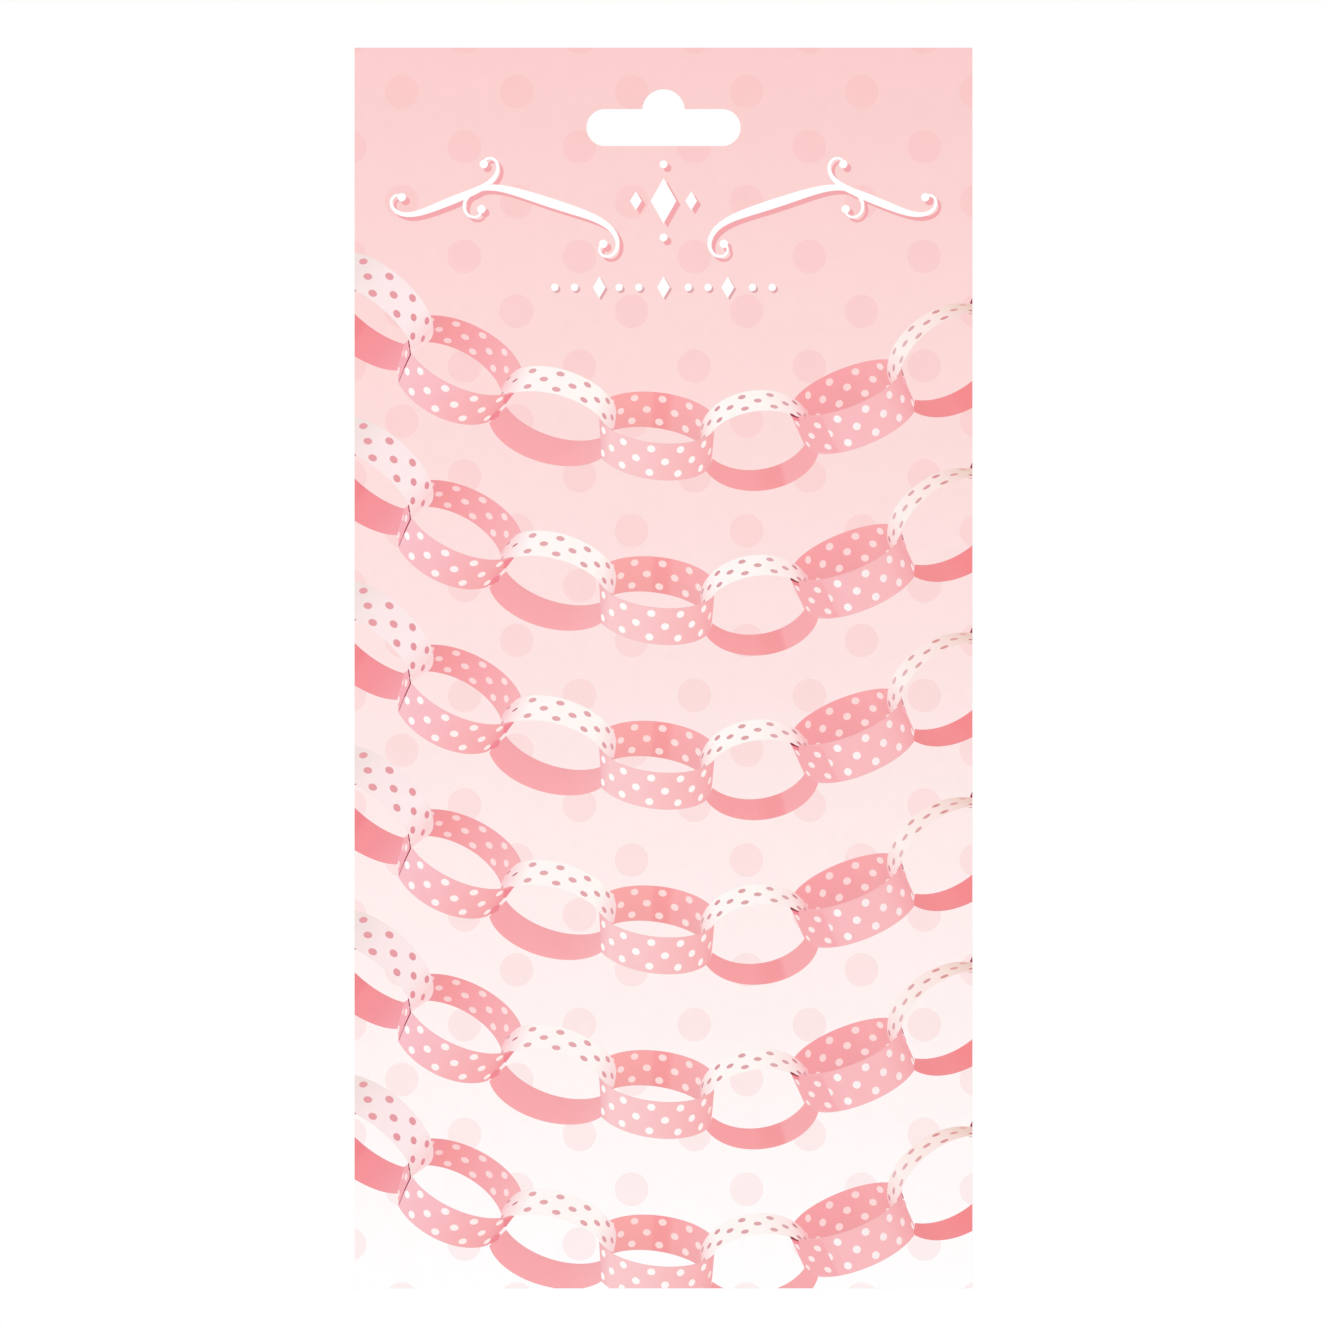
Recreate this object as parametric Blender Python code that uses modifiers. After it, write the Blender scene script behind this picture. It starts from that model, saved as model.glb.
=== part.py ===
"""A printed hanging card: one flat die-cut board with a hang slot, printed with rows of paper chains.

Metres, +Z up, the printed face towards -Y. The origin is the crown of the hang slot, halfway through the
board, where the hook of a display rail carries the card.
"""

import math
from collections import namedtuple

import bmesh
import bpy
from mathutils.geometry import delaunay_2d_cdt

MM = 0.001

# The board and its hang slot
CARD_WIDTH = 0.125
CARD_HEIGHT = 0.251
BOARD_THICKNESS = 0.0005
SLOT_WIDTH = 0.0312
SLOT_HEIGHT = 0.0075
SLOT_BELOW_TOP = 0.0124
CROWN_RADIUS = 0.0043
CROWN_RISE = 0.0040
ARC_STEP = 6.0

CARD_TOP = SLOT_BELOW_TOP - CROWN_RISE
CARD_BOTTOM = CARD_TOP - CARD_HEIGHT
SLOT_TOP = -CROWN_RISE

# The printed ground: colours from the card's top edge (0) to its bottom edge (1), laid as flat bands
GROUND_COLOURS = (
    (0.0, "F9CDCC"),
    (0.22, "FBD8D6"),
    (0.49, "FCE3E2"),
    (0.78, "FEF2F1"),
    (1.0, "FFFEFE"),
)
GROUND_BANDS = 14

# Large polka dots: a thin tint over the ground, every second row lower and shifted to the side
SPOT_RADIUS = 3.4 * MM
SPOT_STEP_X = 23.25 * MM
SPOT_STEP_Z = 22.2 * MM
SPOT_FIRST_BELOW_TOP = 8.95 * MM
SPOT_OFFSET_X = -6.45 * MM
SPOT_ROW_SHIFT = 12.7 * MM
SPOT_SIDES = 20
SPOT_TINT = "F5AAAC"
SPOT_STRENGTH = 0.2

# Rows of paper chains: each row's places are in millimetres from its own datum near the centre line
CHAIN_ROWS = 6
CHAIN_PITCH = 33.3 * MM
CHAIN_BELOW_TOP = 71.34 * MM
CHAIN_OFFSET_X = 0.06 * MM
RIM_STEP = 10.0

Ellipse = namedtuple("Ellipse", "x z half_length half_height tilt")
Band = namedtuple("Band", "ring side colour upper lower start end dots")
Dots = namedtuple("Dots", "colour reach first step slant spread")

# Each ring of paper is seen a little from above, so its upper and lower rims are two ellipses
RIMS = (
    (Ellipse(-57.2, 20.6, 13.0, 5.9, -40.3), Ellipse(-61.7, 15.1, 13.1, 5.6, -37.1)),
    (Ellipse(-40.5, 9.1, 12.9, 6.4, -26.0), Ellipse(-43.6, 3.4, 12.0, 7.0, -28.0)),
    (Ellipse(-21.2, -0.6, 12.4, 6.8, -18.8), Ellipse(-23.0, -5.75, 12.8, 7.0, -15.7)),
    (Ellipse(-1.4, -3.5, 12.2, 5.1, -6.7), Ellipse(-2.0, -10.8, 11.8, 5.2, -8.4)),
    (Ellipse(18.5, -6.02, 11.3, 8.02, 8.3), Ellipse(19.5, -10.23, 12.0, 8.03, 7.7)),
    (Ellipse(37.0, 2.6, 11.9, 3.9, 21.6), Ellipse(40.0, -4.9, 11.8, 4.2, 22.6)),
    (Ellipse(56.4, 9.8, 12.4, 8.3, 34.9), Ellipse(59.5, 7.2, 13.3, 9.0, 35.5)),
)

# The corners of three bands' ends, where the paper turns out of sight round the next ring
LEFT_END = ((-31.1, 1.3), (-32.9, 1.2), (-33.0, 2.1), (-32.3, 3.5), (-31.1, 5.0), (-29.8, 6.1))
LOWER_END = ((-9.6, -2.3), (-9.95, -5.0), (-10.15, -5.9), (-11.0, -5.6), (-12.2, -4.6))
UPPER_START = ((-13.1, -3.6), (-12.2, -4.6), (-10.9, -5.6))
RIGHT_END = ((47.8, 5.9), (48.4, 3.2), (50.2, 0.75), (50.6, -2.5))

# Bands of paper in the order they are printed. upper and lower are the first and last angle along each rim,
# anticlockwise from its right-hand end, and start and end are extra corners between the rims. dots gives a
# colour, the first and last angle with dots, the angle of one dot, the step to the next, how far the rows
# lean, and how far apart they are as a share of the band's width.
BANDS = (
    Band(0, "outside", "F5979D", (200, 324), (215, 336), (), (), None),
    Band(2, "outside", "F7AAAE", (217, 330), (198, 342), (), (), None),
    Band(4, "outside", "F6A3A6", (214, 330), (198, 348), (), (), None),
    Band(6, "outside", "F49195", (215, 300), (196, 300), (), (), None),
    Band(
        1, "inside", "F7A8AC", (150, 20), (150, 34), (), (),
        Dots("FCD9D8", (35, 150), 109.4, 26.5, 1.9, 0.322),
    ),
    Band(
        3, "inside", "F7A5A7", (150, 28), (150, 40), (), (),
        Dots("FCDCDA", (28, 150), 115.4, 27.5, 3.0, 0.322),
    ),
    Band(
        5, "inside", "F6A5A9", (156, -204), (), (), (),
        Dots("FCD8D7", (-22, 160), 130.7, 27.5, -1.8, 0.308),
    ),
    Band(
        0, "cream", "FBE7E7", (180, -10), (175, 38), (), ((-51.2, 9.3),),
        Dots("E79BA2", (20, 180), 126.0, 28.6, 1.8, 0.318),
    ),
    Band(
        2, "cream", "FDF6F3", (133, 30), (128, 44), LEFT_END, LOWER_END,
        Dots("E3A7AB", (26, 130), 151.1, 27.5, -3.6, 0.305),
    ),
    Band(
        4, "cream", "FDF2EF", (181, 10), (155, 42), (), (),
        Dots("DEA4A8", (26, 172), 156.7, 28.9, -0.8, 0.280),
    ),
    Band(
        6, "cream", "FBE8E3", (177, 0), (140, 10), (), (),
        Dots("DD9E9E", (25, 175), 158.4, 27.9, 0.6, 0.313),
    ),
    Band(
        1, "outside", "F8B7BC", (223, 336), (220, 334), (), ((-30.2, 1.5),),
        Dots("FDF6F5", (225, 336), 212.1, 28.6, 2.3, 0.322),
    ),
    Band(
        3, "outside", "F9C0C3", (224, 346), (209, 365), UPPER_START, (),
        Dots("FDFBF9", (210, 356), 210.7, 28.8, 0.7, 0.322),
    ),
    Band(
        5, "outside", "F9B9BE", (204, 330), (198, 321), ((28.5, -9.1),), RIGHT_END,
        Dots("FDF4F3", (205, 325), 250.1, 29.6, 1.1, 0.308),
    ),
)

# The size of one dot on the paper: half its length along the band, and half its share of the band's width
DOT_HALF_ANGLE = 4.0
DOT_HALF_SHARE = 0.094
DOT_SIDES = 8

# The glued lap of one ring, and the deep folds and slivers where the rings pull on each other
LAP = ((25.8, -3.2), (28.5, -9.1), (30.0, -10.3), (35.6, -10.6), (34.2, -8.3), (33.2, -6.1), (32.0, -3.4))
FOLDS = (
    ("lap", LAP),
    ("fold", ((-32.3, 0.8), (-30.2, 1.55), (-31.4, 0.0), (-32.0, -0.8), (-32.5, -0.6))),
    ("fold", ((-35.3, -4.15), (-35.0, -3.3), (-34.2, -2.4), (-33.0, -1.95), (-33.4, -3.3), (-34.5, -3.95))),
    ("sliver", ((-52.5, 11.5), (-53.1, 9.1), (-53.9, 6.5), (-53.6, 3.7), (-51.4, 9.2), (-51.8, 11.9))),
    ("crease", ((-51.75, 12.1), (-51.55, 12.1), (-51.1, 9.2), (-53.5, 3.75), (-53.7, 3.85), (-51.4, 9.2))),
    ("crease", ((25.5, -2.6), (26.1, -2.8), (27.4, -3.6), (27.0, -3.8), (25.7, -3.1))),
    ("crease", ((62.6, 21.2), (61.9, 19.6), (62.6, 19.4))),
)

# Dots that lie apart from the paper's rows, and two thin dashes at a ring's end, each a small ellipse
MARKS = (
    ("lap_dot", Ellipse(31.1, -5.1, 0.80, 0.52, -30)),
    ("lap_dot", Ellipse(29.9, -7.2, 0.75, 0.48, -38)),
    ("lap_dot", Ellipse(33.2, -9.4, 0.80, 0.50, -30)),
    ("lap_dot", Ellipse(29.15, -8.9, 0.65, 0.24, -52)),
    ("lap_dot", Ellipse(27.05, -4.75, 0.70, 0.22, -52)),
    ("lap_dot", Ellipse(-52.15, 9.4, 0.78, 0.26, 84)),
    ("thin_dash", Ellipse(-31.4, 4.4, 0.58, 0.12, 47)),
    ("thin_dash", Ellipse(-30.1, 4.0, 0.72, 0.16, 35)),
)

# A plain scroll ornament with a rose shadow, above the chains. Heights are from the card's top edge, and
# each piece off the centre line is mirrored. A scroll has two arms, which bend more towards their ends.
Scroll = namedtuple("Scroll", "x z heading arms curls thin thick")
SCROLLS = (
    Scroll(22.5, -31.5, 18, (24, 26), (0.95, -0.80), 0.5, 1.9),
    Scroll(43.0, -31.0, -22, (17, 17), (-1.05, 1.05), 0.5, 1.6),
)
SCROLL_STEPS = 18
SCROLL_BEAD = 0.85

# Diamonds and beads: their middle, then half their width and height, or their radius
DIAMONDS = ((0.0, -31.0, 2.6, 4.6), (5.6, -31.0, 1.2, 1.9))
BEADS = ((0.0, -23.6, 0.8), (0.0, -38.4, 0.8))
SMALL_DIAMONDS = ((0.0, -48.5, 1.3, 2.2), (13.0, -48.5, 1.3, 2.2))
SMALL_BEADS = ((5.0, -48.5, 0.75), (9.0, -48.5, 0.75), (18.0, -48.5, 0.75), (22.0, -48.5, 0.75))
BEAD_SIDES = 12
SHADOW_SHIFT = 0.8
SMALL_SHADOW_SHIFT = 0.4

# Colours of the print's smaller shapes and of the board, and how rough each is
PRINT_COLOURS = {
    "lap": "F7AFB4",
    "fold": "F08C96",
    "sliver": "F7B0B8",
    "crease": "A43F55",
    "lap_dot": "FDE9E7",
    "thin_dash": "C87880",
    "ornament_white": "FFFFFF",
    "ornament_shadow": "F3A9AD",
    "small_shadow": "DFA9AC",
}
BOARD_COLOUR = "F7F5F0"
PRINT_ROUGHNESS = 0.45
BOARD_ROUGHNESS = 0.85

Layer = namedtuple("Layer", "points colour within")


def linear_colour(code):
    """A six-digit colour code as the linear colour that a shader takes."""
    shares = (int(code[i : i + 2], 16) / 255 for i in (0, 2, 4))
    return tuple(s / 12.92 if s <= 0.04045 else ((s + 0.055) / 1.055) ** 2.4 for s in shares) + (1.0,)


def mixed(low, high, share):
    """The colour code that lies this share of the way from low to high."""
    pairs = ((int(low[i : i + 2], 16), int(high[i : i + 2], 16)) for i in (0, 2, 4))
    return "".join(f"{round(a + (b - a) * share):02X}" for a, b in pairs)


def ground_colour(fall):
    """The ground's colour at a share of the card's height below its top edge."""
    for (above, upper), (below, lower) in zip(GROUND_COLOURS, GROUND_COLOURS[1:]):
        if fall <= below:
            return mixed(upper, lower, (fall - above) / (below - above))
    return GROUND_COLOURS[-1][1]


def arc(x, z, radius, first, last):
    """Points along a circle's arc, from one angle to the other in degrees."""
    count = max(2, round(abs(last - first) / ARC_STEP))
    angles = (math.radians(first + (last - first) * i / count) for i in range(count + 1))
    return [(x + radius * math.cos(a), z + radius * math.sin(a)) for a in angles]


def slot_outline():
    """The hang slot: a long slot with round ends, and a round crown above its middle."""
    end_radius = SLOT_HEIGHT / 2
    end_x = SLOT_WIDTH / 2 - end_radius
    middle_z = SLOT_TOP - end_radius
    crown_z = -CROWN_RADIUS
    foot = math.degrees(math.asin((SLOT_TOP - crown_z) / CROWN_RADIUS))
    right = arc(end_x, middle_z, end_radius, -90, 90)
    crown = arc(0, crown_z, CROWN_RADIUS, foot, 180 - foot)
    left = arc(-end_x, middle_z, end_radius, 90, 270)
    return right + crown + left


def rectangle(left, right, bottom, top):
    return [(left, bottom), (right, bottom), (right, top), (left, top)]


def on_ellipse(rim, angle):
    """The point of a ring's rim at this angle, in millimetres from its row's datum."""
    a, tilt = math.radians(angle), math.radians(rim.tilt)
    along, across = rim.half_length * math.cos(a), rim.half_height * math.sin(a)
    return (
        rim.x + along * math.cos(tilt) - across * math.sin(tilt),
        rim.z + along * math.sin(tilt) + across * math.cos(tilt),
    )


def on_band(ring, angle, share):
    """The point of a ring's paper at this angle, at a share of the way from its upper to its lower rim."""
    upper, lower = (on_ellipse(rim, angle) for rim in RIMS[ring])
    return tuple(u + (w - u) * share for u, w in zip(upper, lower))


def rim_arc(ring, side, first, last):
    count = max(2, round(abs(last - first) / RIM_STEP))
    return [on_ellipse(RIMS[ring][side], first + (last - first) * i / count) for i in range(count + 1)]


def band_outline(band):
    upper = rim_arc(band.ring, 0, *band.upper)
    lower = rim_arc(band.ring, 1, *band.lower) if band.lower else []
    return upper + list(band.end) + lower[::-1] + list(band.start)


def dot_outline(ring, angle, share):
    """A round dot on a ring's paper, foreshortened as the paper is there."""
    x, z = on_band(ring, angle, share)
    ahead = on_band(ring, angle + DOT_HALF_ANGLE, share)
    behind = on_band(ring, angle - DOT_HALF_ANGLE, share)
    below = on_band(ring, angle, share + DOT_HALF_SHARE)
    along = ((ahead[0] - behind[0]) / 2, (ahead[1] - behind[1]) / 2)
    across = (below[0] - x, below[1] - z)
    points = []
    for k in range(DOT_SIDES):
        c, s = math.cos(2 * math.pi * k / DOT_SIDES), math.sin(2 * math.pi * k / DOT_SIDES)
        points.append((x + along[0] * c + across[0] * s, z + along[1] * c + across[1] * s))
    return points


def band_dots(band):
    """The outlines of the dots that lie on a band in three rows, the middle one half a step on."""
    dots = band.dots
    low, high = dots.reach
    for row in (-1, 0, 1):
        begin = dots.first + dots.slant * row * dots.spread + (0 if row else dots.step / 2)
        angle = begin + math.ceil((low - begin) / dots.step) * dots.step
        while angle <= high:
            yield dot_outline(band.ring, angle, 0.5 + row * dots.spread)
            angle += dots.step


def band_name(band):
    return f"{band.side}_{band.ring}"


def chain_layers(row, first_index):
    """One printed row of chain, as layers from the back to the front."""
    datum = CARD_TOP - CHAIN_BELOW_TOP - row * CHAIN_PITCH
    layers = []

    def add(points, colour, within=None):
        placed = [(CHAIN_OFFSET_X + x * MM, datum + z * MM) for x, z in points]
        layers.append(Layer(placed, colour, within))
        return first_index + len(layers) - 1

    for band in BANDS:
        paper = add(band_outline(band), band_name(band))
        if band.dots:
            for outline in band_dots(band):
                add(outline, band_name(band) + "_dots", paper)
    for colour, points in FOLDS:
        add(points, colour)
    for colour, shape in MARKS:
        add([on_ellipse(shape, 360 * k / DOT_SIDES) for k in range(DOT_SIDES)], colour)
    return layers


def circle(x, z, radius, sides):
    turns = [2 * math.pi * k / sides for k in range(sides)]
    return [(x + radius * math.cos(t), z + radius * math.sin(t)) for t in turns]


def spot_layers():
    """The large polka dots, in staggered rows over the whole card."""
    layers = []
    columns = math.ceil(CARD_WIDTH / SPOT_STEP_X) + 1
    half_rows = math.ceil(2 * CARD_HEIGHT / SPOT_STEP_Z) + 2
    for half_row in range(-1, half_rows):
        z = CARD_TOP - SPOT_FIRST_BELOW_TOP - half_row * SPOT_STEP_Z / 2
        shift = SPOT_OFFSET_X + (half_row % 2) * SPOT_ROW_SHIFT
        for column in range(-columns, columns + 1):
            x = shift + column * SPOT_STEP_X
            if abs(x) - SPOT_RADIUS < CARD_WIDTH / 2:
                layers.append(Layer(circle(x, z, SPOT_RADIUS, SPOT_SIDES), "spot", None))
    return layers


def scroll_arm(x, z, heading, length, curl):
    """Places and headings from a scroll's middle to the end of one arm, which bends ever more tightly."""
    step = length / SCROLL_STEPS
    places = []
    for i in range(SCROLL_STEPS + 1):
        places.append((x, z, heading))
        heading += curl * ((i + 0.5) / SCROLL_STEPS) ** 3 * step
        x += math.cos(heading) * step
        z += math.sin(heading) * step
    return places


def scroll_shapes(scroll):
    """A scroll's stroke as a row of four-cornered pieces, widest in the middle, with a bead at each end."""
    heading = math.radians(scroll.heading)
    back = scroll_arm(scroll.x, scroll.z, heading + math.pi, scroll.arms[0], scroll.curls[0])
    ahead = scroll_arm(scroll.x, scroll.z, heading, scroll.arms[1], scroll.curls[1])
    path = [(x, z, turn - math.pi) for x, z, turn in back[:0:-1]] + ahead
    sides = []
    for i, (x, z, turn) in enumerate(path):
        swell = math.sin(math.pi * i / (len(path) - 1)) ** 2
        reach = (scroll.thin + (scroll.thick - scroll.thin) * swell) / 2
        across = (-math.sin(turn) * reach, math.cos(turn) * reach)
        sides.append(((x + across[0], z + across[1]), (x - across[0], z - across[1])))
    pieces = [[a[0], b[0], b[1], a[1]] for a, b in zip(sides, sides[1:])]
    return pieces + [circle(*end[:2], SCROLL_BEAD, BEAD_SIDES) for end in (path[0], path[-1])]


def diamond(x, z, half_width, half_height):
    return [(x - half_width, z), (x, z - half_height), (x + half_width, z), (x, z + half_height)]


def shadowed(shapes, colour, shift):
    """Layers for the shapes and their mirror images: first the shadow of them all, then the white on top."""
    mirrored = [[(-x, z) for x, z in shape] for shape in shapes if min(x for x, _ in shape) > 0]
    layers = []
    for name, move in ((colour, shift), ("ornament_white", 0.0)):
        for shape in shapes + mirrored:
            placed = [((x + move) * MM, CARD_TOP + (z - move) * MM) for x, z in shape]
            layers.append(Layer(placed, name, None))
    return layers


def ornament_layers():
    """The scroll ornament, and the smaller row of diamonds and beads below it."""
    scrolls = [shape for scroll in SCROLLS for shape in scroll_shapes(scroll)]
    large = scrolls + [diamond(*place) for place in DIAMONDS]
    large += [circle(*bead, BEAD_SIDES) for bead in BEADS]
    small = [diamond(*place) for place in SMALL_DIAMONDS]
    small += [circle(*bead, BEAD_SIDES) for bead in SMALL_BEADS]
    layers = shadowed(large, "ornament_shadow", SHADOW_SHIFT)
    return layers + shadowed(small, "small_shadow", SMALL_SHADOW_SHIFT)


def anticlockwise(points):
    area = sum(a[0] * b[1] - b[0] * a[1] for a, b in zip(points, points[1:] + points[:1]))
    return points if area > 0 else points[::-1]


# The order of the outlines that divide the face, and the millimetres within which their corners are one
CARD_INDEX, SLOT_INDEX, FIRST_LAYER = range(3)
MERGE_DISTANCE = 1e-4


def printed_face(layers):
    """Divides the card's face along every outline. Returns its points, and triangles with their outlines."""
    card = rectangle(-CARD_WIDTH / 2, CARD_WIDTH / 2, CARD_BOTTOM, CARD_TOP)
    outlines = [card, slot_outline()] + [layer.points for layer in layers]
    points, faces = [], []
    for outline in outlines:
        faces.append(list(range(len(points), len(points) + len(outline))))
        points += [(x / MM, z / MM) for x, z in anticlockwise(outline)]
    found = delaunay_2d_cdt(points, [], faces, 1, MERGE_DISTANCE)
    kept = []
    for triangle, origin in zip(found[2], found[5]):
        if CARD_INDEX in origin and SLOT_INDEX not in origin:
            kept.append((triangle, set(origin)))
    return found[0], kept


def top_colour(layers, present):
    """The colour printed last on a piece of the face. A dot counts only where its paper is."""
    for index in sorted((i - FIRST_LAYER for i in present if i >= FIRST_LAYER), reverse=True):
        layer = layers[index]
        if layer.within is None or layer.within + FIRST_LAYER in present:
            return layer.colour
    return None


def ground_band(z):
    fall = (CARD_TOP - z) / CARD_HEIGHT
    return min(GROUND_BANDS - 1, max(0, int(fall * GROUND_BANDS)))


def card_materials():
    """The print's colours, each a material, and the bare board last."""
    codes = dict(PRINT_COLOURS)
    for band in BANDS:
        codes[band_name(band)] = band.colour
        if band.dots:
            codes[band_name(band) + "_dots"] = band.dots.colour
    for i in range(GROUND_BANDS):
        ground = ground_colour((i + 0.5) / GROUND_BANDS)
        codes[f"ground_{i}"] = ground
        codes[f"spot_{i}"] = mixed(ground, SPOT_TINT, SPOT_STRENGTH)
    codes["board"] = BOARD_COLOUR
    for name, code in codes.items():
        material = bpy.data.materials.new(name)
        material.diffuse_color = linear_colour(code)
        material.use_nodes = True
        shader = material.node_tree.nodes["Principled BSDF"]
        shader.inputs["Base Color"].default_value = linear_colour(code)
        shader.inputs["Roughness"].default_value = BOARD_ROUGHNESS if name == "board" else PRINT_ROUGHNESS
        shader.inputs["Metallic"].default_value = 0.0
        yield material


def make_card(collection):
    """The printed face, thickened backwards into the board with Solidify."""
    band_height = CARD_HEIGHT / GROUND_BANDS
    layers = [
        Layer(rectangle(-CARD_WIDTH / 2, CARD_WIDTH / 2, top - band_height, top), None, None)
        for top in (CARD_TOP - i * band_height for i in range(GROUND_BANDS))
    ]
    layers += spot_layers() + ornament_layers()
    for row in range(CHAIN_ROWS):
        layers += chain_layers(row, len(layers))
    points, pieces = printed_face(layers)

    materials = list(card_materials())
    slots = {material.name: i for i, material in enumerate(materials)}
    mesh = bpy.data.meshes.new("hanging_card")
    for material in materials:
        mesh.materials.append(material)
    shape = bmesh.new()
    corners = [shape.verts.new((x * MM, -BOARD_THICKNESS / 2, z * MM)) for x, z in points]
    for triangle, present in pieces:
        face = shape.faces.new([corners[i] for i in triangle])
        colour = top_colour(layers, present)
        if colour in (None, "spot"):
            middle_z = sum(points[i][1] for i in triangle) / 3 * MM
            colour = f"{colour or 'ground'}_{ground_band(middle_z)}"
        face.material_index = slots[colour]
    bmesh.ops.delete(shape, geom=[v for v in shape.verts if not v.link_faces], context="VERTS")
    shape.to_mesh(mesh)
    shape.free()

    card = bpy.data.objects.new("hanging_card", mesh)
    collection.objects.link(card)
    board = card.modifiers.new("board", "SOLIDIFY")
    board.thickness = BOARD_THICKNESS
    board.offset = -1
    # Both run past the last slot, so that the back and the cut edges take the bare board's material
    board.material_offset = len(materials)
    board.material_offset_rim = len(materials)
    return card


def main():
    for old in list(bpy.data.objects):
        bpy.data.objects.remove(old)
    collection = bpy.data.collections.new("printed hanging card")
    bpy.context.scene.collection.children.link(collection)
    make_card(collection)


main()
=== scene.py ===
"""The looks of a printed hanging card: one sheet of white board whose face is printed with paper chains.

The card keeps the size and place of its node in the frame. The print is drawn in millimetres on the card's
face, x to the right and z up from the crown of the hang slot, and each field of colour is its own faces.
"""

import math
from collections import namedtuple

import bmesh
import bpy
import numpy as np
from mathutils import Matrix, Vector
from mathutils.geometry import delaunay_2d_cdt


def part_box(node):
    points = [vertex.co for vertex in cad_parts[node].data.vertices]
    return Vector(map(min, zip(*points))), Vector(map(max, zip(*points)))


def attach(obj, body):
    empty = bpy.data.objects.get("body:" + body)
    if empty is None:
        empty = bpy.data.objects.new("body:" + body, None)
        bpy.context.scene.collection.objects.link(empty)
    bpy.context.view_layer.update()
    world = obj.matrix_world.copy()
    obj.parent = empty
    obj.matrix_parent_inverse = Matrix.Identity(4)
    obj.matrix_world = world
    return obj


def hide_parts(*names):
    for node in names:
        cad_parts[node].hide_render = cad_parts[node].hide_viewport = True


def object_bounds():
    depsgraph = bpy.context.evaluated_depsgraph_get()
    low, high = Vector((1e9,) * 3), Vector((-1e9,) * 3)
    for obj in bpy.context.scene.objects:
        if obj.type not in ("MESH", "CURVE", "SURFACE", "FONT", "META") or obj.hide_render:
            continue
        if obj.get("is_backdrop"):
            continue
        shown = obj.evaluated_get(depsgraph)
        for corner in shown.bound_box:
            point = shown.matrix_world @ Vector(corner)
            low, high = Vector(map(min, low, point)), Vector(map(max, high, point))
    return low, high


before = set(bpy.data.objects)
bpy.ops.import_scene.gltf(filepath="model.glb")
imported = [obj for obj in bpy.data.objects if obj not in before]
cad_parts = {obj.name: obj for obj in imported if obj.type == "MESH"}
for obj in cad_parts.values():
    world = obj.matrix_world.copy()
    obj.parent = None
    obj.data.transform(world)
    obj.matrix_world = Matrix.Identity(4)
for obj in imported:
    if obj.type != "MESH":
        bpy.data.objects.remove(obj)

cad_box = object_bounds()

MM = 0.001

# The card's box in millimetres, from its node in the frame
LOW, HIGH = (Vector(corner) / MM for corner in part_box("hanging_card"))
WIDTH = HIGH.x - LOW.x
HEIGHT = HIGH.z - LOW.z
MIDDLE_Z = (HIGH.z + LOW.z) / 2

# The hang slot
SLOT_WIDTH = 31.2
SLOT_HEIGHT = 7.5
CROWN_RADIUS = 4.3
CROWN_RISE = 4.0
ARC_STEP = 4.0

# How far the die rounds the board's edges, on the printed side and on the back
FACE_ROUND = 0.10
BACK_ROUND = 0.05
ROUND_STEPS = 3

# The printed ground: colours by share of the card's height below its top edge
GROUND_COLOURS = (
    (0.0, "F9CDCC"),
    (0.22, "FBD8D6"),
    (0.49, "FCE3E2"),
    (0.78, "FEF2F1"),
    (1.0, "FFFEFE"),
)

# Large polka dots: a thin tint over the ground, every second row lower and shifted to the side
SPOT_RADIUS = 3.4
SPOT_STEP_X = 23.25
SPOT_STEP_Z = 22.2
SPOT_ROW_SHIFT = 12.7
SPOT_FIRST_BELOW_TOP = 8.95
SPOT_OFFSET_X = -6.45
SPOT_SIDES = 64
SPOT_TINT = "F5AAAC"
SPOT_STRENGTH = 0.2

# Rows of paper chains, each drawn from its own datum near the card's centre line
CHAIN_ROWS = 6
CHAIN_PITCH = 33.3
CHAIN_BELOW_TOP = 71.34
CHAIN_OFFSET_X = 0.06
RIM_STEP = 3.0

Ellipse = namedtuple("Ellipse", "x z half_length half_height tilt")
Band = namedtuple("Band", "ring kind upper lower start end dots fall shades")
Dots = namedtuple("Dots", "reach first step slant spread shades")

# Each ring of paper is seen a little from above, so its upper and lower rims are two ellipses
RIMS = (
    (Ellipse(-57.2, 20.6, 13.0, 5.9, -40.3), Ellipse(-61.7, 15.1, 13.1, 5.6, -37.1)),
    (Ellipse(-40.5, 9.1, 12.9, 6.4, -26.0), Ellipse(-43.6, 3.4, 12.0, 7.0, -28.0)),
    (Ellipse(-21.2, -0.6, 12.4, 6.8, -18.8), Ellipse(-23.0, -5.75, 12.8, 7.0, -15.7)),
    (Ellipse(-1.4, -3.5, 12.2, 5.1, -6.7), Ellipse(-2.0, -10.8, 11.8, 5.2, -8.4)),
    (Ellipse(18.5, -6.02, 11.3, 8.02, 8.3), Ellipse(19.5, -10.23, 12.0, 8.03, 7.7)),
    (Ellipse(37.0, 2.6, 11.9, 3.9, 21.6), Ellipse(40.0, -4.9, 11.8, 4.2, 22.6)),
    (Ellipse(56.4, 9.8, 12.4, 8.3, 34.9), Ellipse(59.5, 7.2, 13.3, 9.0, 35.5)),
)

# The corners of three bands' ends, where the paper turns out of sight round the next ring
LEFT_END = ((-30.1, 1.6), (-31.1, 1.3), (-32.3, 0.9), (-32.9, 1.2), (-33.0, 2.1), (-32.3, 3.5), (-31.1, 5.0),
            (-29.8, 6.1), (-28.8, 6.6))
LOWER_END = ((-9.6, -2.3), (-9.7, -3.6), (-9.95, -5.0), (-10.15, -5.9), (-11.0, -5.6), (-12.2, -4.6))
UPPER_START = ((-13.1, -3.6), (-12.2, -4.6), (-11.6, -5.15), (-10.9, -5.6))
RIGHT_END = ((47.8, 5.9), (48.0, 6.2), (48.3, 4.6), (48.4, 3.2), (48.9, 3.7), (50.2, 0.75), (50.65, -0.3),
             (50.6, -2.5))

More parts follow.
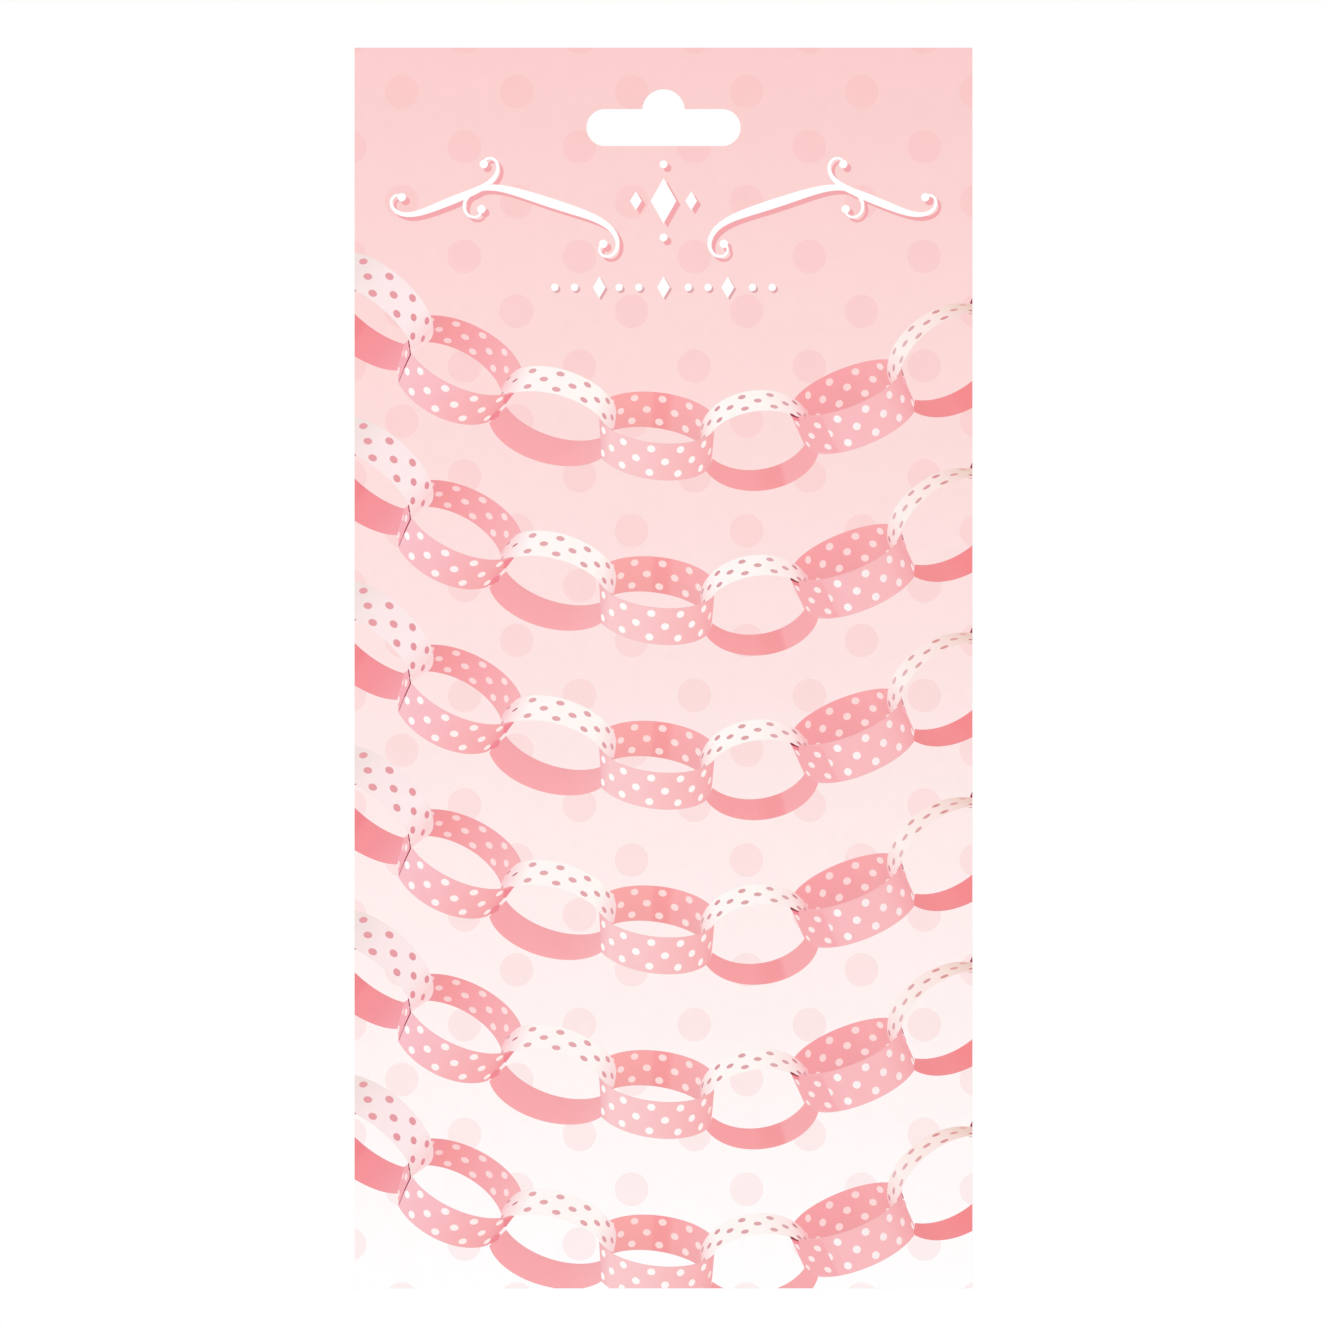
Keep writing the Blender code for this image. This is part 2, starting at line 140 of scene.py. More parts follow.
# The half of a ring that each kind of paper is on, by angle anticlockwise from the ellipse's right-hand end
HALVES = {"outside": (176, 384), "inside": (-20, 204), "cream": (-20, 204)}

# Bands of paper in the order they are printed, each with its ring's number and its kind of paper. upper and
# lower are the first and last angle along each rim, and start and end are extra corners between the rims.
# dots gives the first and last angle with dots, the angle of one dot, the step to the next, how far the
# rows lean, how far apart they are and the dots' colours by angle. fall is how much paler the paper's upper
# rim is than its middle, and its lower rim deeper. shades are its colours by angle.
BANDS = (
    Band(
        0, "outside", (200, 324), (215, 336), (), (), None, -0.01,
        ((272, "F28A90"), (278, "F59399"), (300, "F4979D"), (335, "F5A5AE")),
    ),
    Band(
        2, "outside", (217, 330), (198, 342), (), (), None, -0.02,
        ((215, "F7A8AC"), (290, "F7AAAE"), (335, "F6B2B6")),
    ),
    Band(
        4, "outside", (214, 330), (198, 348), (), (), None, -0.008,
        ((205, "F6A2A5"), (262, "F6A2A5"), (272, "F59DA0"), (288, "F59CA0"), (294, "F7ABAE")),
    ),
    Band(
        6, "outside", (215, 300), (196, 300), (), (), None, 0.0,
        ((215, "F19194"), (245, "F49397"), (260, "F58D91")),
    ),
    Band(
        1, "inside", (150, 20), (150, 34), (), (),
        Dots((35, 150), 109.4, 26.5, 1.9, 0.322, ((60, "FDDDDD"), (130, "F9CACA"))), 0.0,
        ((40, "F8B3B7"), (80, "F7A8AD"), (115, "F59C9F"), (135, "F0989E")),
    ),
    Band(
        3, "inside", (150, 28), (150, 40), (), (),
        Dots((28, 150), 115.4, 27.5, 3.0, 0.322, ((60, "FCE0DE"), (100, "FCDAD7"))), 0.03,
        ((40, "F5AEB1"), (75, "F8AAAB"), (82, "F79EA0"), (94, "F69EA0"), (98, "F8A7A7"), (140, "F7A7A7")),
    ),
    Band(
        5, "inside", (156, -204), (), (), (),
        Dots((-22, 160), 130.7, 27.5, -1.8, 0.308, ((50, "FCDCDB"), (100, "FCD6D5"))), 0.03,
        ((28, "F6AEB1"), (48, "F5A6A9"), (60, "F7AAAD"), (85, "F6A4A8"), (140, "F5A0A4")),
    ),
    Band(
        0, "cream", (180, -10), (175, 38), (), ((-51.2, 9.3),),
        Dots((20, 180), 126.0, 28.6, 1.8, 0.318, ((30, "E5939C"), (80, "E7A0A6"))), 0.0,
        ((0, "FCDDDE"), (25, "FBD4D5"), (55, "FCE9EA"), (95, "FBE7E8"), (130, "F0DFDC")),
    ),
    Band(
        2, "cream", (133, 30), (128, 44), LEFT_END, LOWER_END,
        Dots((26, 130), 151.1, 27.5, -3.6, 0.305, ((30, "E09FA4"), (80, "E5ABAF"))), 0.0,
        ((10, "F8D0D1"), (30, "FBDCDC"), (55, "FDF6F2"), (125, "FDF6F4"), (158, "FBCBCF"), (168, "F3B6BA")),
    ),
    Band(
        4, "cream", (181, 10), (155, 42), (), (),
        Dots((26, 172), 156.7, 28.9, -0.8, 0.280, ((15, "D99A9F"), (70, "DFACAE"), (130, "DC9EA3"))), 0.0,
        ((20, "F9B6BA"), (50, "FCE6E4"), (80, "FDF5F2"), (130, "FDF8F5"), (155, "FDDFDF"), (168, "F3B6B7")),
    ),
    Band(
        6, "cream", (177, 0), (140, 10), (), (),
        Dots(
            (25, 175), 158.4, 27.9, 0.6, 0.313,
            ((45, "E7AFA8"), (75, "DB9898"), (130, "E8BCBD"), (158, "D88F96")),
        ), 0.0,
        ((40, "EACABF"), (80, "FBE5E0"), (125, "FDF1EE"), (155, "FCDAD9"), (172, "F9BDC0")),
    ),
    Band(
        1, "outside", (223, 336), (220, 334), (), ((-30.2, 1.5),),
        Dots((225, 336), 212.1, 28.6, 2.3, 0.322, ((230, "FDFAFA"), (325, "FEE9E6"))), 0.0,
        ((230, "F9C1C9"), (260, "F9BDC3"), (300, "F8B1B4"), (320, "F7ACAE"), (335, "F4A1A5")),
    ),
    Band(
        3, "outside", (224, 346), (209, 365), UPPER_START, (),
        Dots((210, 356), 210.7, 28.8, 0.7, 0.322, ((260, "FDFCFA"), (325, "FEF3F1"), (345, "FBDAD6"))), 0.0,
        ((205, "F4B8BC"), (222, "FACACC"), (258, "FAC7C9"), (325, "F8B4B6"), (342, "F5ACAE")),
    ),
    Band(
        5, "outside", (204, 330), (198, 321), ((28.5, -9.1),), RIGHT_END,
        Dots((205, 325), 250.1, 29.6, 1.1, 0.308, ((225, "FAE4E4"), (250, "FCF6F6"), (335, "FBDFDF"))), 0.0,
        ((235, "F8B6BB"), (250, "F9BCC0"), (300, "F9BBBE"), (330, "F6ADB1"), (345, "EFA0A3")),
    ),
)

# The size of one dot on the paper: half its length along the band, and half its share of the band's width
DOT_HALF_ANGLE = 4.0
DOT_HALF_SHARE = 0.094
DOT_SIDES = 18

# The glued lap of one ring, and the deep folds and slivers where the rings pull on each other
LAP = ((25.8, -3.2), (28.5, -9.1), (30.0, -10.3), (35.6, -10.6), (34.2, -8.3), (33.2, -6.1), (32.0, -3.4))
FOLDS = (
    ("lap", LAP),
    ("fold", ((-32.3, 0.8), (-30.2, 1.55), (-31.4, 0.0), (-32.0, -0.8), (-32.5, -0.6), (-32.35, 0.15))),
    ("fold", ((-35.3, -4.15), (-35.0, -3.3), (-34.2, -2.4), (-33.0, -1.95), (-33.4, -3.3), (-34.5, -3.95))),
    ("sliver", ((-52.5, 11.5), (-53.1, 9.1), (-53.9, 6.5), (-53.6, 3.7), (-51.4, 9.2), (-51.8, 11.9))),
    ("crease", ((-51.8, 12.15), (-51.57, 12.15), (-51.3, 10.7), (-51.54, 10.6))),
    ("crease", ((-51.52, 10.7), (-51.38, 10.7), (-51.1, 9.2), (-52.4, 6.5), (-52.6, 6.6), (-51.4, 9.2))),
    ("faint_crease", ((-52.4, 6.5), (-53.5, 3.75), (-53.65, 3.9), (-52.6, 6.6))),
    ("dark", ((25.5, -2.6), (26.1, -2.8), (27.4, -3.6), (27.1, -3.7), (25.7, -3.1))),
    ("fold", ((25.7, -3.1), (27.2, -3.7), (27.6, -4.3), (26.4, -4.0))),
    ("sliver", ((48.2, 4.9), (48.7, 4.7), (49.1, 3.6), (48.4, 3.2))),
    ("faint_crease", ((48.0, 6.2), (48.25, 6.1), (48.6, 5.0), (48.3, 4.9))),
    ("crease", ((62.6, 21.2), (61.9, 19.6), (62.6, 19.4))),
)

# Dots and thin dashes that lie apart from the paper's rows, each a small ellipse
MARKS = (
    ("lap_dot", Ellipse(31.1, -5.1, 0.80, 0.52, -30)),
    ("lap_dot", Ellipse(29.9, -7.2, 0.75, 0.48, -38)),
    ("lap_dot", Ellipse(33.2, -9.4, 0.80, 0.50, -30)),
    ("lap_dot", Ellipse(29.15, -8.9, 0.65, 0.24, -52)),
    ("lap_dot", Ellipse(27.05, -4.75, 0.70, 0.22, -52)),
    ("lap_dot", Ellipse(-52.15, 9.4, 0.78, 0.26, 84)),
    ("lap_dot", Ellipse(-52.8, 9.5, 0.65, 0.10, 80)),
    ("lap_dot", Ellipse(-53.65, 6.0, 0.75, 0.18, 84)),
    ("lap_dot", Ellipse(-32.6, -1.5, 0.60, 0.13, 42)),
    ("lap_dot", Ellipse(50.3, -0.5, 0.80, 0.18, 108)),
    ("thin_dash", Ellipse(-31.4, 4.4, 0.58, 0.09, 47)),
    ("thin_dash", Ellipse(-30.1, 4.0, 0.72, 0.15, 35)),
    ("thin_dash", Ellipse(-32.65, 1.4, 0.40, 0.08, 42)),
    ("thin_dash", Ellipse(26.5, -0.4, 0.55, 0.09, -42)),
    ("thin_dash", Ellipse(27.4, -2.8, 0.60, 0.09, -38)),
    ("thin_dash", Ellipse(28.5, -3.1, 0.45, 0.07, -58)),
    ("thin_dash", Ellipse(62.1, 18.2, 0.45, 0.10, 2)),
    ("thin_dash", Ellipse(62.1, 17.5, 0.45, 0.06, 2)),
    ("thin_dash", Ellipse(-62.4, 22.2, 0.15, 0.16, 0)),
)

# A plain scroll ornament with a rose shadow, above the chains. Heights are from the card's top edge, and
# each piece off the centre line is mirrored. A scroll has two arms, which bend more towards their ends.
Scroll = namedtuple("Scroll", "x z heading arms curls thin thick")
SCROLLS = (
    Scroll(22.5, -31.5, 18, (24, 26), (0.95, -0.80), 0.5, 1.9),
    Scroll(43.0, -31.0, -22, (17, 17), (-1.05, 1.05), 0.5, 1.6),
)
SCROLL_STEPS = 44
SCROLL_BEAD = 0.85

# How steeply a scroll's bend grows towards its ends, and its stroke towards its middle, as powers
CURL_POWER = 3
SWELL_POWER = 2

# Diamonds and beads: their middle, then half their width and height, or their radius
DIAMONDS = ((0.0, -31.0, 2.6, 4.6), (5.6, -31.0, 1.2, 1.9))
BEADS = ((0.0, -23.6, 0.8), (0.0, -38.4, 0.8))
SMALL_DIAMONDS = ((0.0, -48.5, 1.3, 2.2), (13.0, -48.5, 1.3, 2.2))
SMALL_BEADS = ((5.0, -48.5, 0.75), (9.0, -48.5, 0.75), (18.0, -48.5, 0.75), (22.0, -48.5, 0.75))
BEAD_SIDES = 28
SHADOW_SHIFT = 0.8
SMALL_SHADOW_SHIFT = 0.4

# Plain colours of the print and of the board
PRINT_COLOURS = {
    "lap": "F7AFB4",
    "fold": "F08C96",
    "sliver": "F7B0B8",
    "crease": "A43F55",
    "faint_crease": "CB838D",
    "dark": "903B46",
    "lap_dot": "FDE9E7",
    "thin_dash": "C87880",
    "ornament_white": "FFFFFF",
    "ornament_shadow": "F3A9AD",
    "small_shadow": "DFA9AC",
}
BOARD_BACK = "F9F6F1"
BOARD_CORE = "F7F4EF"

# The gloss adds a little white and the lamps give a little over full light, so the inks are set deeper
GLOSS_LIFT = 0.052
LIGHT_GAIN = 1.080

# The camera looks straight at the card through a long lens
LENS = 200.0
SENSOR = 36.0
VIEW_WIDTH = 268.45
VIEW_ABOVE_MIDDLE = 0.91

# One printed outline, with its material's name. What lies in a row of chain gives its row, and paper and
# dots give their band. within is the index of the layer of paper that a dot lies on.
Layer = namedtuple("Layer", "points colour within band row", defaults=(None, None, None))


def linear(code):
    """A six-digit colour code as linear red, green and blue, by the sRGB formula."""
    shares = (int(code[i : i + 2], 16) / 255 for i in (0, 2, 4))
    return [s / 12.92 if s <= 0.04045 else ((s + 0.055) / 1.055) ** 2.4 for s in shares]


def ink(code):
    """The surface colour that looks like this code under the scene's light."""
    return [max(0.0, (c - GLOSS_LIFT) / (LIGHT_GAIN - GLOSS_LIFT)) for c in linear(code)] + [1.0]


# The outlines of the print


def arc(x, z, radius, first, last):
    """Points along a circle's arc, from one angle to the other in degrees."""
    count = max(2, round(abs(last - first) / ARC_STEP))
    angles = (math.radians(first + (last - first) * i / count) for i in range(count + 1))
    return [(x + radius * math.cos(a), z + radius * math.sin(a)) for a in angles]


def slot_outline(margin):
    """The hang slot, larger by a margin all round: a long slot with a round crown above its middle."""
    end_radius = SLOT_HEIGHT / 2
    end_x = SLOT_WIDTH / 2 - end_radius
    middle_z = -CROWN_RISE - end_radius
    foot = math.degrees(math.asin((CROWN_RADIUS - CROWN_RISE + margin) / (CROWN_RADIUS + margin)))
    right = arc(end_x, middle_z, end_radius + margin, -90, 90)
    crown = arc(0, -CROWN_RADIUS, CROWN_RADIUS + margin, foot, 180 - foot)
    left = arc(-end_x, middle_z, end_radius + margin, 90, 270)
    return right + crown + left


def rectangle(left, right, bottom, top):
    return [(left, bottom), (right, bottom), (right, top), (left, top)]


def on_ellipse(rim, angle):
    """The point of a ring's rim at this angle."""
    a, tilt = math.radians(angle), math.radians(rim.tilt)
    along, across = rim.half_length * math.cos(a), rim.half_height * math.sin(a)
    return (
        rim.x + along * math.cos(tilt) - across * math.sin(tilt),
        rim.z + along * math.sin(tilt) + across * math.cos(tilt),
    )


def on_band(ring, angle, share):
    """The point of a ring's paper at this angle, at a share of the way from its upper to its lower rim."""
    upper, lower = (on_ellipse(rim, angle) for rim in RIMS[ring])
    return tuple(u + (w - u) * share for u, w in zip(upper, lower))


def rim_arc(rim, first, last):
    count = max(2, round(abs(last - first) / RIM_STEP))
    return [on_ellipse(rim, first + (last - first) * i / count) for i in range(count + 1)]


def band_outline(band):
    """A band's outline: along its upper rim, round its end, back along its lower rim and round its start."""
    upper_rim, lower_rim = RIMS[band.ring]
    upper = rim_arc(upper_rim, *band.upper)
    lower = rim_arc(lower_rim, *band.lower) if band.lower else []
    return upper + list(band.end) + lower[::-1] + list(band.start)


def ellipse_outline(shape):
    return [on_ellipse(shape, 360 * k / DOT_SIDES) for k in range(DOT_SIDES)]


def dot_outline(ring, angle, share):
    """A round dot on a ring's paper, foreshortened as the paper is there."""
    x, z = on_band(ring, angle, share)
    ahead = on_band(ring, angle + DOT_HALF_ANGLE, share)
    behind = on_band(ring, angle - DOT_HALF_ANGLE, share)
    below = on_band(ring, angle, share + DOT_HALF_SHARE)
    along = ((ahead[0] - behind[0]) / 2, (ahead[1] - behind[1]) / 2)
    across = (below[0] - x, below[1] - z)
    points = []
    for k in range(DOT_SIDES):
        c, s = math.cos(2 * math.pi * k / DOT_SIDES), math.sin(2 * math.pi * k / DOT_SIDES)
        points.append((x + along[0] * c + across[0] * s, z + along[1] * c + across[1] * s))
    return points


def band_dots(band):
    """The outlines of the dots that lie on a band in three rows, the middle one half a step on."""
    dots = band.dots
    low, high = dots.reach
    for row in (-1, 0, 1):
        begin = dots.first + dots.slant * row * dots.spread + (0 if row else dots.step / 2)
        angle = begin + math.ceil((low - begin) / dots.step) * dots.step
        while angle <= high:
            yield dot_outline(band.ring, angle, 0.5 + row * dots.spread)
            angle += dots.step


def paper_name(band):
    return f"{band.kind}_{band.ring}"


def dots_name(band):
    return paper_name(band) + "_dots"


def row_datum(row):
    """The place on the card from which a row of chain is drawn."""
    return CHAIN_OFFSET_X, HIGH.z - CHAIN_BELOW_TOP - row * CHAIN_PITCH


def chain_layers(row, first_index):
    """One printed row of chain, as layers from the back to the front."""
    datum_x, datum_z = row_datum(row)
    layers = []

    def add(points, colour, within=None, band=None):
        placed = [(datum_x + x, datum_z + z) for x, z in points]
        layers.append(Layer(placed, colour, within, band, row))
        return first_index + len(layers) - 1

    for band in BANDS:
        paper = add(band_outline(band), paper_name(band), band=band)
        if band.dots:
            for outline in band_dots(band):
                add(outline, dots_name(band), paper, band)
    for colour, points in FOLDS:
        add(points, colour)
    for colour, shape in MARKS:
        add(ellipse_outline(shape), colour)
    return layers


def circle(x, z, radius, sides):
    turns = [2 * math.pi * k / sides for k in range(sides)]
    return [(x + radius * math.cos(t), z + radius * math.sin(t)) for t in turns]


def spot_layers():
    """The large polka dots, in staggered rows over the whole card."""
    layers = []
    columns = math.ceil(WIDTH / SPOT_STEP_X) + 1
    half_rows = math.ceil(2 * HEIGHT / SPOT_STEP_Z) + 2
    for half_row in range(-1, half_rows):
        z = HIGH.z - SPOT_FIRST_BELOW_TOP - half_row * SPOT_STEP_Z / 2
        for column in range(-columns, columns + 1):
            x = SPOT_OFFSET_X + (half_row % 2) * SPOT_ROW_SHIFT + column * SPOT_STEP_X
            if LOW.x < x + SPOT_RADIUS and x - SPOT_RADIUS < HIGH.x:
                layers.append(Layer(circle(x, z, SPOT_RADIUS, SPOT_SIDES), "spot"))
    return layers


def scroll_arm(x, z, heading, length, curl):
    """Places and headings from a scroll's middle to the end of one arm, which bends ever more tightly."""
    step = length / SCROLL_STEPS
    places = []
    for i in range(SCROLL_STEPS + 1):
        places.append((x, z, heading))
        heading += curl * (i / SCROLL_STEPS) ** CURL_POWER * step
        x += math.cos(heading) * step
        z += math.sin(heading) * step
    return places


def scroll_shapes(scroll):
    """A scroll's stroke as a row of four-cornered pieces, widest in the middle, and a bead at each end."""
    heading = math.radians(scroll.heading)
    back = scroll_arm(scroll.x, scroll.z, heading + math.pi, scroll.arms[0], scroll.curls[0])
    ahead = scroll_arm(scroll.x, scroll.z, heading, scroll.arms[1], scroll.curls[1])
    path = [(x, z, turn - math.pi) for x, z, turn in back[:0:-1]] + ahead
    sides = []
    for i, (x, z, turn) in enumerate(path):
        swell = math.sin(math.pi * i / (len(path) - 1)) ** SWELL_POWER
        reach = (scroll.thin + (scroll.thick - scroll.thin) * swell) / 2
        across = (-math.sin(turn) * reach, math.cos(turn) * reach)
        sides.append(((x + across[0], z + across[1]), (x - across[0], z - across[1])))
    pieces = [[a[0], b[0], b[1], a[1]] for a, b in zip(sides, sides[1:])]
    return pieces + [circle(*end[:2], SCROLL_BEAD, BEAD_SIDES) for end in (path[0], path[-1])]


def diamond(x, z, half_width, half_height):
    return [(x - half_width, z), (x, z - half_height), (x + half_width, z), (x, z + half_height)]


def shadowed(shapes, colour, shift):
    """Layers for the shapes and their mirror images: first the shadow of them all, then the white on top."""
    mirrored = [[(-x, z) for x, z in shape] for shape in shapes if min(x for x, _ in shape) > 0]
    layers = []
    for name, move in ((colour, shift), ("ornament_white", 0.0)):
        for shape in shapes + mirrored:
            placed = [(x + move, HIGH.z + z - move) for x, z in shape]
            layers.append(Layer(placed, name))
    return layers


def ornament_layers():
    """The scroll ornament, and the smaller row of diamonds and beads below it."""
    scrolls = [shape for scroll in SCROLLS for shape in scroll_shapes(scroll)]
    large = scrolls + [diamond(*place) for place in DIAMONDS]
    large += [circle(*bead, BEAD_SIDES) for bead in BEADS]
    small = [diamond(*place) for place in SMALL_DIAMONDS]
    small += [circle(*bead, BEAD_SIDES) for bead in SMALL_BEADS]
    layers = shadowed(large, "ornament_shadow", SHADOW_SHIFT)
    return layers + shadowed(small, "small_shadow", SMALL_SHADOW_SHIFT)


# The card's faces

# The order of the outlines that divide the face, and the millimetres within which their corners are one
CARD_INDEX, SLOT_INDEX, FIRST_LAYER = range(3)
MERGE_DISTANCE = 1e-4

# What delaunay_2d_cdt calls triangles within the outlines only
TRIANGLES_INSIDE = 1


def anticlockwise(points):
    area = sum(a[0] * b[1] - b[0] * a[1] for a, b in zip(points, points[1:] + points[:1]))
    return points if area > 0 else points[::-1]


def printed_face(layers):
    """Divides the card's face along every printed outline. Returns its points, triangles and top layers."""
    inset = FACE_ROUND
    card = rectangle(LOW.x + inset, HIGH.x - inset, LOW.z + inset, HIGH.z - inset)
    outlines = [card, slot_outline(inset)] + [layer.points for layer in layers]
    points, faces = [], []
    for outline in outlines:
        faces.append(list(range(len(points), len(points) + len(outline))))
        points += anticlockwise(outline)
    divided = delaunay_2d_cdt(points, [], faces, TRIANGLES_INSIDE, MERGE_DISTANCE)
    corners, _, triangles, _, _, origins = divided
    kept = []
    for triangle, origin in zip(triangles, origins):
        if CARD_INDEX in origin and SLOT_INDEX not in origin:
            kept.append((triangle, top_layer(layers, set(origin))))
    return corners, kept


def top_layer(layers, present):
    """The layer printed last on a piece of the face. A dot counts only where its paper is."""
    for index in sorted((i - FIRST_LAYER for i in present if i >= FIRST_LAYER), reverse=True):
        within = layers[index].within
        if within is None or within + FIRST_LAYER in present:
            return layers[index]
    return None


# Angles along a band are tried this finely when a point's place on its paper is worked out
ANGLE_START, ANGLE_END, ANGLE_STEP = -40.0, 400.0, 0.5
ANGLE_TRIES = np.arange(ANGLE_START, ANGLE_END, ANGLE_STEP)

# Past the right-hand end of an outside band, its colour changes no further than this many degrees on
END_REACH = 5


def places_on_paper(band, points):
    """For points in millimetres from their row's datum: the angle along the band and the share across."""
    tries, below = (np.array([on_ellipse(rim, a) for a in ANGLE_TRIES]) for rim in RIMS[band.ring])
    rulings = below - tries
    first, last = HALVES[band.kind]
    if band.kind == "outside":
        last = max(band.upper) + END_REACH
    usable = (ANGLE_TRIES >= first) & (ANGLE_TRIES <= last)
    tries, rulings, angles = tries[usable], rulings[usable], ANGLE_TRIES[usable]
    offset = points[:, None, :] - tries[None]
    length = np.linalg.norm(rulings, axis=1)
    shares = (offset * rulings).sum(2) / length**2
    miss = np.abs(offset[..., 0] * rulings[:, 1] - offset[..., 1] * rulings[:, 0]) / length
    miss += length * np.maximum(0, np.maximum(-shares, shares - 1))
    best = miss.argmin(1)
    return np.stack((angles[best], shares[np.arange(len(points)), best].clip(0, 1)), 1)


def paper_corners(points, pieces):
    """The place on its paper of each corner of each triangle, as turns along and a share across."""
    corners = np.zeros((len(pieces), 3, 3), np.float32)
    groups = {}
    for index, (_, layer) in enumerate(pieces):
        if layer and layer.band:
            groups.setdefault((layer.band, layer.row), []).append(index)
    flat = np.array([tuple(p) for p in points])
    for (band, row), indices in groups.items():
        spots = np.array([flat[list(pieces[i][0])] for i in indices]) - np.array(row_datum(row))
        places = places_on_paper(band, spots.reshape(-1, 2)).reshape(-1, 3, 2)
        corners[indices, :, 0] = places[..., 0] / 360
        corners[indices, :, 1] = places[..., 1]
    return corners


def rim_profile():
    """Rings round each cut edge, from the printed face to the back: distance outwards, depth and side."""
    rings = []
    for i in range(1, ROUND_STEPS + 1):
        turn = math.radians(90 * i / ROUND_STEPS)
        rings.append((FACE_ROUND * math.sin(turn), FACE_ROUND * (1 - math.cos(turn)), "print"))
    for i in range(ROUND_STEPS + 1):
        turn = math.radians(90 * i / ROUND_STEPS)
        distance = FACE_ROUND - BACK_ROUND * (1 - math.cos(turn))
        rings.append((distance, HIGH.y - LOW.y - BACK_ROUND * (1 - math.sin(turn)), "core"))
    return rings


def outward(edges):
    """The direction in which the corner of two edges of the face moves as the face grows by one unit."""
    normals = []
    for edge in edges:
        face = edge.link_faces[0]
        along = (edge.verts[1].co - edge.verts[0].co).normalized()
        side = along.cross(Vector((0, 1, 0)))
        if side.dot(face.calc_center_median() - edge.verts[0].co) > 0:
            side = -side
        normals.append(side)
    return (normals[0] + normals[1]) / (1 + normals[0].dot(normals[1]))


def add_printed_face(shape, paper, index_of):
    """The printed face, each triangle in the colour of its top layer."""
    layers = spot_layers() + ornament_layers()
    for row in range(CHAIN_ROWS):
        layers += chain_layers(row, len(layers))
    points, pieces = printed_face(layers)
    verts = [shape.verts.new((x, LOW.y, z)) for x, z in points]
    for (triangle, layer), places in zip(pieces, paper_corners(points, pieces)):
        face = shape.faces.new([verts[i] for i in triangle])
        face.material_index = index_of[layer.colour if layer else "ground"]
        for loop, place in zip(face.loops, places):
            loop[paper] = Vector(map(float, place))
    bmesh.ops.delete(shape, geom=[v for v in shape.verts if not v.link_faces], context="VERTS")


def add_cut_edges(shape, paper, core_index):
    """Rings of faces that round each cut edge of the face. Returns the edges at which the back begins."""
    sides = []
    around = {}
    for edge in [e for e in shape.edges if len(e.link_faces) == 1]:
        edge.smooth = False
        for vert in edge.verts:
            around.setdefault(vert, []).append(edge)
        face = edge.link_faces[0]
        loop = next(l for l in face.loops if l.edge == edge)
        after = loop.link_loop_next
        places = (loop[paper].copy(), after[paper].copy())
        sides.append((loop.vert, after.vert, face.material_index, *places))
    ways = {vert: outward(pair) for vert, pair in around.items()}
    last = {vert: vert for vert in ways}
    for distance, depth, kind in rim_profile():
        ring = {v: shape.verts.new(v.co + way * distance + Vector((0, depth, 0))) for v, way in ways.items()}
        for start, stop, ink_index, start_place, stop_place in sides:
            face = shape.faces.new((last[start], ring[start], ring[stop], last[stop]))
            face.material_index = ink_index if kind == "print" else core_index
            for loop, place in zip(face.loops, (start_place, start_place, stop_place, stop_place)):
                loop[paper] = place
        last = ring
    return [shape.edges.get((last[start], last[stop])) for start, stop, *_ in sides]


def add_back(shape, edges, back_index):
    """The flat back, which meets the cut edges sharply."""
    for edge in edges:
        edge.smooth = False
    filled = bmesh.ops.triangle_fill(shape, edges=edges, use_beauty=True, normal=(0, 1, 0))
    for face in filled["geom"]:
        if isinstance(face, bmesh.types.BMFace):
            face.material_index = back_index
            if face.normal.y < 0:
                face.normal_flip()


def make_card(materials):
    """The printed face, its rounded die-cut edges and the back, as one closed sheet."""
    index_of = {name: i for i, name in enumerate(materials)}
    shape = bmesh.new()
    paper = shape.loops.layers.float_vector.new("paper")
    add_printed_face(shape, paper, index_of)
    back_edges = add_cut_edges(shape, paper, index_of["board_core"])
    add_back(shape, back_edges, index_of["board_back"])
    for face in shape.faces:
        face.smooth = True
    bmesh.ops.scale(shape, vec=(MM, MM, MM), verts=shape.verts)
    mesh = bpy.data.meshes.new("printed_card")
    shape.to_mesh(mesh)
    shape.free()
    for material in materials.values():
        mesh.materials.append(material)
    card = bpy.data.objects.new("printed_card", mesh)
    bpy.context.scene.collection.objects.link(card)
    return card


# Materials

# The places of the Mix node's sockets for colours: its factor, its two colours and what it gives
MIX_FACTOR, MIX_LOW, MIX_HIGH, MIX_RESULT = 0, 6, 7, 2


